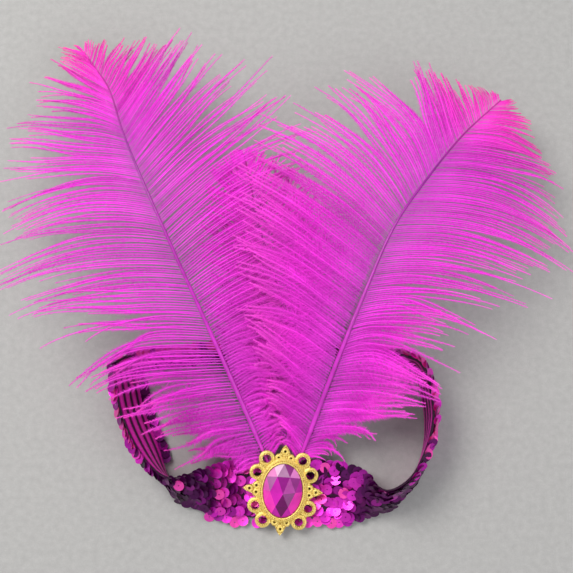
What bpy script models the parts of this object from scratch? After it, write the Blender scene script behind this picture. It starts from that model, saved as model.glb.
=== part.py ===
"""Flapper headband: a stretch band covered in sequins, three ostrich plumes, a gold filigree
medallion with a faceted oval gem. It lies as it was laid down: the back and sides of the band
stand on edge, the front lies nearly flat with the medallion on top, and the plumes rise over
the back of the band. +Z is up, +Y runs from the medallion towards the plume tips. It is drawn
in millimetres and put into metres at the end."""

import math

import bmesh
import bpy
import numpy as np
from mathutils import Matrix, Vector

MM = 1.0
METRE = 1000 * MM
NAME = "flapper_headband"
CLEARANCE = 0.3 * MM

# Band.
LOOP_WIDTH = 174 * MM
BAND_WIDTH = 31 * MM
WEB_THICKNESS = 1.1 * MM
RIB_HEIGHT = 0.7 * MM
RIBS = 4
SEQUIN_ROWS = 5
SEQUIN_BED = 0.6 * MM
SEQUIN_RISE = 1.0 * MM
BAND_STATIONS = 56
FACE_SPLITS = 4
TWIST_SHARE = 0.5
FRONT_TILT = math.radians(10)

# Medallion.
SETTING_WIDTH = 44.8 * MM
SETTING_HEIGHT = 51 * MM
SETTING_THICKNESS = 2.0 * MM
SETTING_TURN = math.radians(-3.5)
LOBE_HOLE = 5.0 * MM
LOBE_WIDTH = 8.8 * MM
SMALL_HOLE = 1.3 * MM
SMALL_LOBE = 4.6 * MM
RIM_HEIGHT = 0.9 * MM
RIM_CREST = 0.6 * MM
BEZEL_WIDTH = 3.0 * MM
BEZEL_CREST = 0.9 * MM
BEZEL_HEIGHT = 2.1 * MM
POINT_SLOPE = 1.5
MEDALLION_RISE = 0.9 * MM
OUTLINE_SIDES = 84
RIM_SIDES = 12
SMALL_SIDES = 7
BEZEL_SIDES = 32

# Gem.
GEM_WIDTH = 22 * MM
GEM_HEIGHT = 30 * MM
GEM_DOME = 6.4 * MM
GIRDLE = 1.2 * MM
TABLE_SHARE = 0.2
BREAK_SHARE = 0.62
BREAK_LIFT = 0.62
TABLE_SIDES = 8

# Plumes.
PLUME_LEFT_LENGTH = 261 * MM
PLUME_RIGHT_LENGTH = 237 * MM
PLUME_CENTRE_LENGTH = 172 * MM
QUILL = 1.8 * MM
SHAFT = 2.8 * MM
SHAFT_TIP = 0.9 * MM
SHAFT_STATIONS = 15
LOCK_THICKNESS = 0.9 * MM
LOCK_LIFT = 0.6 * MM
LOCK_GAP_SHARE = 0.1
LOCK_TIP_SHARE = 0.2
LOCK_START = 0.008
LOCK_ROWS = 5
WEB_ROWS = 2
BARB_ANGLE = math.radians(52)
BARB_REACH = 0.42
LEVEL_STEP = 3.5 * MM
CLIMB_START = 18 * MM
CLIMB_END = 34 * MM
LEVEL_START = 21 * MM
LEVEL_END = 35 * MM
SIDE_SAG = 22 * MM

# Centre line of the band from the front middle, clockwise seen from above.
# across and along are shares of LOOP_WIDTH. lean is the tilt of the band's face in degrees:
# 0 stands upright, above 0 leans outwards, -80 lies with the sequins up.
BAND_LINE = (
    # across, along, lean
    (0.000, 0.000, -80),
    (-0.140, 0.000, -80),
    (-0.250, -0.005, -50),
    (-0.330, 0.005, -24),
    (-0.385, 0.045, 0),
    (-0.435, 0.130, 17),
    (-0.485, 0.240, 20),
    (-0.510, 0.345, 19),
    (-0.520, 0.390, 12),
    (-0.480, 0.420, 4),
    (-0.350, 0.435, 0),
    (-0.050, 0.460, 0),
    (0.285, 0.440, 0),
    (0.410, 0.420, 0),
    (0.450, 0.385, 2),
    (0.470, 0.310, 4),
    (0.478, 0.217, 2),
    (0.458, 0.115, -4),
    (0.413, 0.027, -8),
    (0.345, -0.027, -17),
    (0.283, -0.035, -36),
    (0.230, -0.018, -64),
    (0.157, -0.002, -80),
)

# Holes and lobes of one quarter of the setting, mirrored to the other three.
SETTING_LOBES = (
    # across share of SETTING_WIDTH, up share of SETTING_HEIGHT, hole, lobe
    (0.225, 0.337, LOBE_HOLE, LOBE_WIDTH),
    (0.332, 0.182, LOBE_HOLE, LOBE_WIDTH),
    (0.076, 0.353, SMALL_HOLE, SMALL_LOBE),
    (0.000, 0.427, SMALL_HOLE, SMALL_LOBE),
    (0.332, 0.037, SMALL_HOLE, SMALL_LOBE),
    (0.417, 0.000, SMALL_HOLE, SMALL_LOBE),
)

# Height of the plumes over the surface, along the line from the medallion back. The quills run
# under the setting up to CLIMB_START, and the middle rows climb over the back of the band.
RISE = (
    # distance back in mm, height in mm
    (0, 7.6),
    (26, 12.1),
    (40, 17),
    (60, 27),
    (76, 34),
    (95, 38),
    (130, 42),
    (170, 43),
    (210, 39),
    (270, 30),
)

# Each plume has its own frame: along runs from its foot to its tip, aside to the right of that.
# Both are shares of the plume's length.
PLUMES = (
    {
        "name": "plume_left",
        "foot": (-8.3 * MM, 14.8 * MM),
        "heading": -24.7,
        "length": PLUME_LEFT_LENGTH,
        "level": 1,
        "locks": 18,
        "shaft": (
            # along, aside
            (-0.04, 0.000),
            (0.25, 0.004),
            (0.50, 0.004),
            (0.78, 0.010),
            (0.90, 0.020),
            (1.00, 0.000),
        ),
        "left": (
            # root, along, aside
            (0.06, 0.06, -0.10),
            (0.11, 0.13, -0.17),
            (0.20, 0.26, -0.23),
            (0.30, 0.41, -0.29),
            (0.45, 0.56, -0.33),
            (0.60, 0.70, -0.33),
            (0.74, 0.88, -0.27),
            (0.85, 0.95, -0.20),
            (0.93, 1.02, -0.11),
            (1.00, 1.04, -0.02),
        ),
        "right": (
            (0.06, 0.06, 0.03),
            (0.12, 0.11, 0.07),
            (0.22, 0.21, 0.14),
            (0.40, 0.41, 0.26),
            (0.55, 0.58, 0.37),
            (0.65, 0.70, 0.37),
            (0.77, 0.82, 0.31),
            (0.85, 0.91, 0.24),
            (0.93, 1.00, 0.10),
            (1.00, 1.03, 0.02),
        ),
    },
    {
        "name": "plume_right",
        "foot": (10.3 * MM, 14.8 * MM),
        "heading": 29.2,
        "length": PLUME_RIGHT_LENGTH,
        "level": 2,
        "locks": 18,
        "shaft": (
            (-0.04, 0.000),
            (0.17, -0.031),
            (0.39, -0.059),
            (0.60, -0.075),
            (0.72, -0.062),
            (0.87, -0.037),
            (1.00, 0.000),
        ),
        "left": (
            (0.06, 0.04, -0.05),
            (0.18, 0.08, -0.15),
            (0.26, 0.13, -0.21),
            (0.40, 0.28, -0.31),
            (0.52, 0.44, -0.41),
            (0.60, 0.57, -0.45),
            (0.67, 0.71, -0.40),
            (0.73, 0.83, -0.36),
            (0.84, 0.94, -0.21),
            (0.90, 0.98, -0.14),
            (1.00, 1.02, -0.02),
        ),
        "right": (
            (0.06, 0.05, 0.06),
            (0.12, 0.12, 0.12),
            (0.26, 0.28, 0.16),
            (0.35, 0.32, 0.17),
            (0.45, 0.41, 0.19),
            (0.56, 0.60, 0.26),
            (0.66, 0.70, 0.31),
            (0.78, 0.85, 0.25),
            (0.85, 0.94, 0.19),
            (0.91, 1.00, 0.11),
            (1.00, 1.05, 0.02),
        ),
    },
    {
        "name": "plume_centre",
        "foot": (0.5 * MM, 14.8 * MM),
        "heading": -7.4,
        "length": PLUME_CENTRE_LENGTH,
        "level": 0,
        "locks": 10,
        "shaft": (
            (-0.05, 0.000),
            (0.15, 0.040),
            (0.30, 0.065),
            (0.50, 0.060),
            (0.75, 0.020),
            (1.00, 0.000),
        ),
        "left": (
            (0.10, 0.14, -0.05),
            (0.30, 0.42, -0.15),
            (0.50, 0.65, -0.17),
            (0.70, 0.86, -0.15),
            (0.85, 0.98, -0.10),
            (1.00, 1.03, -0.02),
        ),
        "right": (
            (0.10, 0.14, 0.09),
            (0.30, 0.42, 0.22),
            (0.50, 0.65, 0.24),
            (0.70, 0.86, 0.20),
            (0.85, 0.98, 0.12),
            (1.00, 1.03, 0.02),
        ),
    },
)

SEQUIN_FACE = CLEARANCE + SEQUIN_BED + SEQUIN_RISE
SETTING_BACK = SEQUIN_FACE + CLEARANCE + QUILL + CLEARANCE
GEM_SEAT = SETTING_BACK + SETTING_THICKNESS + CLEARANCE
WEB_DEPTH = WEB_THICKNESS + RIB_HEIGHT
FRONT_HEIGHT = BAND_WIDTH / 2 * math.sin(FRONT_TILT) + WEB_DEPTH * math.cos(FRONT_TILT)
QUILL_HEIGHT = FRONT_HEIGHT + (SEQUIN_FACE + CLEARANCE + QUILL / 2) / math.cos(FRONT_TILT)


def smoothstep(value, start, end):
    """0 before start, 1 past end, an even S between them."""
    share = np.clip((np.asarray(value, float) - start) / (end - start), 0, 1)
    return share * share * (3 - 2 * share)


def curve_through(knots, values, at):
    """A smooth curve through (knot, value) rows: cubic pieces whose slope at a row is that of
    the line between its two neighbours."""
    knots = np.asarray(knots, float)
    values = np.asarray(values, float)
    slopes = np.gradient(values, knots, axis=0)
    at = np.clip(np.asarray(at, float), knots[0], knots[-1])
    piece = np.clip(np.searchsorted(knots, at, side="right") - 1, 0, len(knots) - 2)
    span = knots[piece + 1] - knots[piece]
    share = (at - knots[piece]) / span
    if values.ndim > 1:
        share = share[:, None]
        span = span[:, None]
    square = share * share
    cube = square * share
    return (
        (2 * cube - 3 * square + 1) * values[piece]
        + (cube - 2 * square + share) * span * slopes[piece]
        + (3 * square - 2 * cube) * values[piece + 1]
        + (cube - square) * span * slopes[piece + 1]
    )


def new_collection(name, parent, hidden=False):
    collection = bpy.data.collections.new(name)
    parent.children.link(collection)
    collection.hide_render = hidden
    return collection


def new_material(name, colour, roughness, metallic=0.0):
    material = bpy.data.materials.new(name)
    material.use_nodes = True
    shader = material.node_tree.nodes["Principled BSDF"]
    shader.inputs["Base Color"].default_value = (*colour, 1)
    shader.inputs["Roughness"].default_value = roughness
    shader.inputs["Metallic"].default_value = metallic
    return material


def new_object(name, mesh, collection, material=None):
    obj = bpy.data.objects.new(name, mesh)
    collection.objects.link(obj)
    if material:
        mesh.materials.append(material)
    return obj


def mesh_of(name, form):
    """A mesh from a bmesh, with its faces turned outwards."""
    bmesh.ops.recalc_face_normals(form, faces=form.faces)
    mesh = bpy.data.meshes.new(name)
    form.to_mesh(mesh)
    form.free()
    return mesh


def from_curve(name, curve, collection):
    """The curve's solid as a mesh object, its seams closed."""
    source = bpy.data.objects.new(name + "_curve", curve)
    collection.objects.link(source)
    bpy.context.view_layer.update()
    mesh = bpy.data.meshes.new_from_object(
        source.evaluated_get(bpy.context.evaluated_depsgraph_get())
    )
    bpy.data.objects.remove(source)
    form = bmesh.new()
    form.from_mesh(mesh)
    bmesh.ops.remove_doubles(form, verts=form.verts, dist=0.002 * MM)
    bpy.data.meshes.remove(mesh)
    obj = bpy.data.objects.new(name, mesh_of(name, form))
    collection.objects.link(obj)
    return obj


def round_wire(name, points, radii, cyclic, collection, resolution=1):
    """A round wire through points, closed or with filled ends."""
    curve = bpy.data.curves.new(name, "CURVE")
    curve.dimensions = "3D"
    curve.bevel_depth = 1
    curve.bevel_resolution = resolution
    curve.use_fill_caps = not cyclic
    spline = curve.splines.new("POLY")
    spline.points.add(len(points) - 1)
    for point, place, radius in zip(spline.points, points, radii):
        point.co = (*place, 1)
        point.radius = radius
    spline.use_cyclic_u = cyclic
    return from_curve(name, curve, collection)


def apply_modifiers(obj):
    graph = bpy.context.evaluated_depsgraph_get()
    mesh = bpy.data.meshes.new_from_object(obj.evaluated_get(graph))
    mesh.name = obj.name
    obj.modifiers.clear()
    obj.data = mesh


def join(target, others, operation="UNION"):
    """Fuses closed meshes into the target, or cuts them from it, one after another."""
    for other in others:
        other.display_type = "WIRE"
        change = target.modifiers.new(other.name, "BOOLEAN")
        change.operation = operation
        change.solver = "EXACT"
        change.object = other
    apply_modifiers(target)


def band_frames(stations):
    """Places and directions along the band: middle point, width direction, outward direction.

    The centre line is a smooth closed curve through BAND_LINE. It is walked at even steps of
    its length plus a share of the turn of the edges, so that stations are closer in a twist.
    The middle is lifted so that the lowest corner of the section touches the surface.
    """
    rows = np.array(BAND_LINE)
    count = len(rows)
    closed = np.concatenate([rows[-3:], rows, rows[:4]])
    knots = np.arange(-3, count + 4)
    fine = np.linspace(0, count, 40 * count + 1)
    line = curve_through(knots, closed, fine)
    steps = np.linalg.norm(np.diff(line[:, :2], axis=0), axis=1) * LOOP_WIDTH
    steps = steps + TWIST_SHARE * BAND_WIDTH / 2 * np.radians(np.abs(np.diff(line[:, 2])))
    walked = np.concatenate([[0], np.cumsum(steps)])
    at = np.linspace(0, walked[-1], stations, endpoint=False)
    where = np.interp(at, walked, fine)
    place = curve_through(knots, closed, where)
    ahead = curve_through(knots, closed, where + 0.01) - place
    heading = ahead[:, :2] / np.linalg.norm(ahead[:, :2], axis=1)[:, None]
    outward = np.stack([-heading[:, 1], heading[:, 0], np.zeros(stations)], axis=1)
    lean = np.radians(place[:, 2])[:, None]
    up = np.array([[0.0, 0.0, 1.0]])
    width = np.cos(lean) * up + np.sin(lean) * outward
    face = np.cos(lean) * outward - np.sin(lean) * up
    middle = np.zeros((stations, 3))
    middle[:, :2] = place[:, :2] * LOOP_WIDTH
    lowest = np.full(stations, np.inf)
    for w in (-BAND_WIDTH / 2, BAND_WIDTH / 2):
        for n in (-WEB_DEPTH, SEQUIN_FACE):
            corner = w * width[:, 2] + n * face[:, 2]
            lowest = np.minimum(lowest, corner)
    upright = np.abs(lean[:, 0]) < math.radians(1)
    lowest[upright] = -BAND_WIDTH / 2
    middle[:, 2] = -lowest
    return middle, width, face


def swept_band(name, section, collection, material):
    """A closed loop with the section (across, outward) swept along the band.

    Where the band twists, its faces are split the same way in every piece, so that one piece
    keeps its distance from the next.
    """
    middle, width, face = band_frames(BAND_STATIONS)
    form = bmesh.new()
    rings = []
    for centre, across, out in zip(middle, width, face):
        rings.append([form.verts.new(centre + w * across + n * out) for w, n in section])
    for first, second in zip(rings, rings[1:] + rings[:1]):
        for a in range(len(section)):
            b = (a + 1) % len(section)
            if section[a][0] <= section[b][0]:
                form.faces.new((first[a], first[b], second[b]))
                form.faces.new((first[a], second[b], second[a]))
            else:
                form.faces.new((first[a], first[b], second[a]))
                form.faces.new((first[b], second[b], second[a]))
    return new_object(name, mesh_of(name, form), collection, material)


def web_section():
    """Flat outer side, four rounded ribs on the inner side."""
    half = BAND_WIDTH / 2
    section = [(w, 0) for w in np.linspace(-half, half, FACE_SPLITS + 1)]
    for step in range(2 * RIBS, -1, -1):
        across = -half + BAND_WIDTH * step / (2 * RIBS)
        depth = WEB_THICKNESS + (RIB_HEIGHT if step % 2 else 0)
        section.append((across, -depth))
    return section


def sequin_section():
    """Flat inner side, five overlapping rows that step down like shingles."""
    half = BAND_WIDTH / 2
    row = BAND_WIDTH / SEQUIN_ROWS
    lap = 0.14 * row
    section = [(w, CLEARANCE) for w in np.linspace(half, -half, FACE_SPLITS + 1)]
    for index in range(SEQUIN_ROWS):
        low = -half + index * row
        section.append((low + (lap if index else 0), CLEARANCE + SEQUIN_BED + SEQUIN_RISE))
        section.append((low + row, CLEARANCE + SEQUIN_BED))
    return section


def medallion_frame():
    """Middle of the medallion on the band's face, and its across, up and outward directions."""
    middle, width, face = band_frames(BAND_STATIONS)
    across = np.cross(width[0], face[0])
    turn = SETTING_TURN
    right = math.cos(turn) * across + math.sin(turn) * width[0]
    up = math.cos(turn) * width[0] - math.sin(turn) * across
    return middle[0] + MEDALLION_RISE * width[0], right, up, face[0]


def on_medallion(obj, height):
    """Moves a mesh drawn flat, with its back at z = 0, to that height over the band's face."""
    middle, right, up, out = medallion_frame()
    for vertex in obj.data.vertices:
        x, y, z = vertex.co
        vertex.co = Vector(middle + x * right + y * up + (z + height) * out)
    obj.data.update()
    return obj


def setting_lobes():
    """Middle, hole and lobe of all lobes: the quarter's rows mirrored."""
    found = []
    for across, up, hole, lobe in SETTING_LOBES:
        for side in (1, -1) if across else (1,):
            for end in (1, -1) if up else (1,):
                x = side * across * SETTING_WIDTH
                y = end * up * SETTING_HEIGHT
                found.append((x, y, hole / 2, lobe / 2))
    return found


def setting_outline():
    """Polar outline of the lobes, the middle oval and the four points.

    At each angle the outline is the farthest of: the oval, every lobe's circle where the ray
    crosses it, and the slope of a point.
    """
    angles = np.arange(OUTLINE_SIDES) * 2 * math.pi / OUTLINE_SIDES
    ray = np.stack([np.cos(angles), np.sin(angles)], axis=1)
    a = GEM_WIDTH / 2 + 1.4 * BEZEL_WIDTH
    b = GEM_HEIGHT / 2 + 1.4 * BEZEL_WIDTH
    reach = a * b / np.hypot(b * ray[:, 0], a * ray[:, 1])
    for x, y, _, radius in setting_lobes():
        along = ray @ np.array([x, y])
        inside = radius**2 - (x**2 + y**2 - along**2)
        crossing = along + np.sqrt(np.maximum(inside, 0))
        reach = np.where((inside > 0) & (along > 0), np.maximum(reach, crossing), reach)
    for quarter in range(4):
        tip = (SETTING_WIDTH, SETTING_HEIGHT)[quarter % 2] / 2
        off = np.abs((angles - quarter * math.pi / 2 + math.pi) % (2 * math.pi) - math.pi)
        reach = np.maximum(reach, tip - POINT_SLOPE * off * tip)
    return ray * reach[:, None]


def flat_plate(name, outline, thickness, collection):
    """A plate of the outline, its back at z = 0."""
    curve = bpy.data.curves.new(name, "CURVE")
    curve.dimensions = "2D"
    curve.fill_mode = "BOTH"
    curve.extrude = thickness / 2
    spline = curve.splines.new("POLY")
    spline.points.add(len(outline) - 1)
    for point, (x, y) in zip(spline.points, outline):
        point.co = (x, y, 0, 1)
    spline.use_cyclic_u = True
    plate = from_curve(name, curve, collection)
    plate.data.transform(Matrix.Translation((0, 0, thickness / 2)))
    return plate


def drums(name, rows, collection):
    """Upright drums in one mesh, from rows of middle, foot and top half sizes, low and high."""
    form = bmesh.new()
    for (x, y), (wide, tall), (top_wide, top_tall), low, high, sides in rows:
        made = bmesh.ops.create_cone(
            form, cap_ends=True, segments=round(sides), radius1=1, radius2=1, depth=1
        )
        for vert in made["verts"]:
            lower = vert.co.z < 0
            vert.co.x = x + vert.co.x * (wide if lower else top_wide)
            vert.co.y = y + vert.co.y * (tall if lower else top_tall)
            vert.co.z = low if lower else high
    return new_object(name, mesh_of(name, form), collection)


def build_setting(collection, helpers, material):
    """A lobed plate with a collar on each large lobe and a sloping bezel round the gem's seat.

    The collars and the bezel are fused on, then the seat and all holes are cut.
    """
    setting = flat_plate("medallion_setting", setting_outline(), SETTING_THICKNESS, collection)
    setting.data.materials.append(material)
    root = SETTING_THICKNESS / 2
    collars = []
    holes = []
    for x, y, hole, lobe in setting_lobes():
        large = hole == LOBE_HOLE / 2
        sides = RIM_SIDES if large else SMALL_SIDES
        if large:
            crest = hole + RIM_CREST
            foot = 0.94 * lobe
            top = SETTING_THICKNESS + RIM_HEIGHT
            collars.append(((x, y), (foot, foot), (crest, crest), root, top, sides))
        beyond = SETTING_THICKNESS + 2 * RIM_HEIGHT
        holes.append(((x, y), (hole, hole), (hole, hole), -RIM_HEIGHT, beyond, sides))
    a = GEM_WIDTH / 2 + CLEARANCE
    b = GEM_HEIGHT / 2 + CLEARANCE
    foot = (a + BEZEL_WIDTH, b + BEZEL_WIDTH)
    crest = (a + BEZEL_CREST, b + BEZEL_CREST)
    top = SETTING_THICKNESS + BEZEL_HEIGHT
    bezel = drums("bezel", [((0, 0), foot, crest, root, top, BEZEL_SIDES)], helpers)
    join(setting, [bezel, drums("collars", collars, helpers)])
    seat = [((0, 0), (a, b), (a, b), SETTING_THICKNESS, 2 * top, BEZEL_SIDES)]
    join(setting, [drums("seat", seat, helpers), drums("holes", holes, helpers)], "DIFFERENCE")
    return on_medallion(setting, SETTING_BACK)


def build_gem(collection, material):
    """Oval crown with a small table, long kites round it and triangles along the girdle."""
    form = bmesh.new()
    turn = 2 * math.pi / TABLE_SIDES

    def ring(share, height, offset, count):
        return [
            form.verts.new(
                (
                    share * GEM_WIDTH / 2 * math.cos(turn * TABLE_SIDES / count * k + offset),
                    share * GEM_HEIGHT / 2 * math.sin(turn * TABLE_SIDES / count * k + offset),
                    height,
                )
            )
            for k in range(count)
        ]

    sides = TABLE_SIDES
    table = ring(TABLE_SHARE, GIRDLE + GEM_DOME, 0, sides)
    breaks = ring(BREAK_SHARE, GIRDLE + BREAK_LIFT * GEM_DOME, turn / 2, sides)
    upper = ring(1, GIRDLE, 0, 2 * sides)
    lower = ring(1, 0, 0, 2 * sides)
    form.faces.new(table)
    form.faces.new(list(reversed(lower)))
    for k in range(sides):
        after = (k + 1) % sides
        form.faces.new((table[k], breaks[k], table[after]))
        form.faces.new((table[k], breaks[k - 1], upper[2 * k]))
        form.faces.new((table[k], upper[2 * k], breaks[k]))
        form.faces.new((breaks[k], upper[2 * k], upper[2 * k + 1]))
        form.faces.new((breaks[k], upper[2 * k + 1], upper[2 * after]))
    for k in range(2 * sides):
        after = (k + 1) % (2 * sides)
        form.faces.new((upper[k], lower[k], lower[after], upper[after]))
    gem = new_object("gem", mesh_of("gem", form), collection, material)
    return on_medallion(gem, GEM_SEAT)


def plume_height(across, back, level):
    """Height of a plume's surface over the floor: the shared rise, its level, the side's sag.

    Past the sides of the band the surface stays over the band's upper edge until it is behind
    the band, and further back it sags with the distance from the middle.
    """
    rise = np.array(RISE) * MM
    climbing = smoothstep(back, CLIMB_START, CLIMB_END)
    height = (QUILL_HEIGHT + back * math.tan(FRONT_TILT)) * (1 - climbing)
    height = height + curve_through(rise[:, 0], rise[:, 1], back) * climbing
    over_side = smoothstep(np.abs(across), 0.26 * LOOP_WIDTH, 0.38 * LOOP_WIDTH)
    beside = over_side * (1 - smoothstep(back, 76 * MM, 95 * MM))
    height = height + beside * np.maximum(BAND_WIDTH + 3 * MM - height, 0)
    far = smoothstep(np.abs(across), 60 * MM, 170 * MM) * smoothstep(back, 85 * MM, 145 * MM)
    return height - SIDE_SAG * far + level * LEVEL_STEP * smoothstep(back, LEVEL_START, LEVEL_END)


def plume_plan(plume, shares):
    """Plan positions of (along, aside) shares in the plume's frame."""
    heading = math.radians(plume["heading"])
    along = np.array([math.sin(heading), math.cos(heading)])
    aside = np.array([math.cos(heading), -math.sin(heading)])
    shares = np.atleast_2d(shares)
    offset = shares[:, :1] * along + shares[:, 1:2] * aside
    return np.array(plume["foot"]) + offset * plume["length"]


def shaft_plan(plume, at):
    rows = np.array(plume["shaft"])
    return plume_plan(plume, curve_through(rows[:, 0], rows, np.atleast_1d(at)))


def barb_plan(plume, side, roots, share):
    """Plan positions on barbs that leave the shaft at roots, at a share of their length.

    A barb leaves the shaft at BARB_ANGLE and bends over to its tip: a curve with three poles,
    root, reach and tip.
    """
    start = shaft_plan(plume, roots)
    ahead = shaft_plan(plume, np.asarray(roots) + 0.004) - shaft_plan(
        plume, np.asarray(roots) - 0.004
    )
    heading = np.arctan2(ahead[:, 0], ahead[:, 1]) + side * BARB_ANGLE
    rows = np.array(plume["right" if side > 0 else "left"])
    tip = plume_plan(plume, curve_through(rows[:, 0], rows[:, 1:], roots))
    span = np.linalg.norm(tip - start, axis=1)[:, None]
    pole = start + BARB_REACH * span * np.stack([np.sin(heading), np.cos(heading)], axis=1)
    share = np.reshape(share, (-1, 1))
    return (1 - share) ** 2 * start + 2 * share * (1 - share) * pole + share**2 * tip


def build_plume(plume, collection, helpers, material):
    """Locks in one sheet on both sides of the shaft, given thickness, with the shaft fused in.

    The sheet is a grid: columns run along the shaft, two for each lock with a narrow gap
    between locks, and rows run out along the barbs. Past the web rows the gaps are open and
    each lock narrows to its tip.
    """
    count = plume["locks"]
    first = plume["left"][0][0] - LOCK_START
    pitch = (1 - LOCK_START - first) / count
    columns = 2 * count
    rows = 2 * LOCK_ROWS + 1
    form = bmesh.new()
    bmesh.ops.create_grid(form, x_segments=columns - 1, y_segments=rows - 1, size=1)
    form.verts.ensure_lookup_table()
    verts = sorted(form.verts, key=lambda v: (round(v.co.y, 4), round(v.co.x, 4)))
    column = np.tile(np.arange(columns), rows)
    step = np.repeat(np.arange(rows), columns) - LOCK_ROWS
    lock = column // 2
    middle = first + (lock + 0.5) * pitch
    share = np.abs(step) / LOCK_ROWS
    narrow = share**3
    half = pitch * (0.5 - LOCK_GAP_SHARE / 2) * (1 - (1 - LOCK_TIP_SHARE) * narrow)
    roots = middle + np.where(column % 2, half, -half)
    uneven = 1 - 0.05 * (lock % 3) * narrow
    left = barb_plan(plume, -1, roots, share * uneven)
    right = barb_plan(plume, 1, roots, share * uneven)
    plan = np.where((step < 0)[:, None], left, right)
    lift = LOCK_LIFT * np.where(lock % 2, 1, -1) * smoothstep(share, 0.1, 0.5)
    height = plume_height(plan[:, 0], plan[:, 1], plume["level"]) + lift
    index = {}
    for vert, place, up, at in zip(verts, plan, height, zip(column, step)):
        vert.co = (place[0], place[1], up)
        index[vert] = at
    gaps = []
    for face in form.faces:
        spots = [index[v] for v in face.verts]
        between = min(c for c, _ in spots) % 2 == 1
        if between and max(abs(r) for _, r in spots) > WEB_ROWS:
            gaps.append(face)
    bmesh.ops.delete(form, geom=gaps, context="FACES")
    name = plume["name"]
    obj = new_object(name, mesh_of(name, form), collection, material)
    solid = obj.modifiers.new("thickness", "SOLIDIFY")
    solid.thickness = LOCK_THICKNESS
    solid.offset = 0
    at = np.linspace(plume["shaft"][0][0], 1, SHAFT_STATIONS)
    line = shaft_plan(plume, at)
    rise = plume_height(line[:, 0], line[:, 1], plume["level"])
    points = np.column_stack([line, rise])
    swell = smoothstep(line[:, 1], LEVEL_START, LEVEL_END)
    taper = SHAFT + (SHAFT_TIP - SHAFT) * np.clip(at, 0, 1)
    radii = (QUILL + (taper - QUILL) * swell) / 2
    shaft = round_wire(name + "_shaft", points, radii, False, helpers)
    join(obj, [shaft])
    return obj


def shade_round(objects):
    for obj in objects:
        for face in obj.data.polygons:
            face.use_smooth = True


def finish_pieces(objects):
    """Centres the whole over the origin, lowest at z = 0, and puts it into metres."""
    points = np.array([v.co for obj in objects for v in obj.data.vertices])
    low = points.min(axis=0)
    high = points.max(axis=0)
    middle = Vector(((low[0] + high[0]) / 2, (low[1] + high[1]) / 2, low[2]))
    for obj in objects:
        obj.data.transform(Matrix.Scale(1 / METRE, 4) @ Matrix.Translation(-middle))
    print("front middle of the band is at", [round(v, 2) for v in -middle], "mm")


def build():
    for obj in list(bpy.data.objects):
        bpy.data.objects.remove(obj)
    pieces = new_collection(NAME, bpy.context.scene.collection)
    helpers = new_collection(NAME + "_fused", bpy.context.scene.collection, hidden=True)
    satin = new_material("satin", (0.42, 0.015, 0.28), 0.42)
    sequins = new_material("sequins", (0.30, 0.008, 0.22), 0.18, 0.5)
    gold = new_material("gold", (0.80, 0.56, 0.14), 0.34, 1.0)
    stone = new_material("stone", (0.66, 0.012, 0.36), 0.06)
    feather = new_material("feather", (0.78, 0.035, 0.62), 0.7)
    web = swept_band("elastic_band", web_section(), pieces, satin)
    layer = swept_band("sequin_layer", sequin_section(), pieces, sequins)
    setting = build_setting(pieces, helpers, gold)
    gem = build_gem(pieces, stone)
    plumes = [build_plume(plume, pieces, helpers, feather) for plume in PLUMES]
    shade_round([web])
    finish_pieces([web, layer, setting, gem, *plumes])


build()
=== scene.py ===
# %% [markdown]
# # Flapper headband
#
# A stretch headband lies on a pale floor and is seen from almost straight above. Its loop is
# covered in sequins, a gold filigree medallion with a faceted stone sits at the front, and tall
# dyed ostrich plumes rise from behind the medallion over the back of the band.
#
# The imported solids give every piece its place. Each cell below dresses one of them.

# %% Load the solids
import math

import bpy
import numpy as np
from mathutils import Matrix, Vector


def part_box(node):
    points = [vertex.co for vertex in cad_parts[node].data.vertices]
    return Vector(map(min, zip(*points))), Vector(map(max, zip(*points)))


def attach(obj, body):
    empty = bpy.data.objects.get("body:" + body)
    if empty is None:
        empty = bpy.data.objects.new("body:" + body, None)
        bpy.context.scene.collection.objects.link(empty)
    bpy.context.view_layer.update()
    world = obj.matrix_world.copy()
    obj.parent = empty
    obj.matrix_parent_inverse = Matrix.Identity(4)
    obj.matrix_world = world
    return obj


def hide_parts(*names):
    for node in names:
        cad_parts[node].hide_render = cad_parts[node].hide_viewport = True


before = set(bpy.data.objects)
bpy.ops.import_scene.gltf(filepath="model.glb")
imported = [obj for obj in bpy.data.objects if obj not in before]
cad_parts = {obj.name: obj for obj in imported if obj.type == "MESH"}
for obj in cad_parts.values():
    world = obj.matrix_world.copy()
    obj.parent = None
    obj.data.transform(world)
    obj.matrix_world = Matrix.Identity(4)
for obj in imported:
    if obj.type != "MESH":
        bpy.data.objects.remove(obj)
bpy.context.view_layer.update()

print("solids:", sorted(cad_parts))

# %% [markdown]
# ## Tools for surfaces
#
# Every new piece is a set of points worked out as whole numpy arrays. The helpers put such arrays
# into a mesh, carry a profile along a path, and repeat one small shape at many places. Points are
# in millimetres until the mesh is made.

# %% Mesh from arrays
MM = 0.001
rng = np.random.default_rng(1925)


def add_object(name, data):
    """An object with that mesh, light or camera, in the scene."""
    thing = bpy.data.objects.new(name, data)
    bpy.context.scene.collection.objects.link(thing)
    return thing


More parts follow.
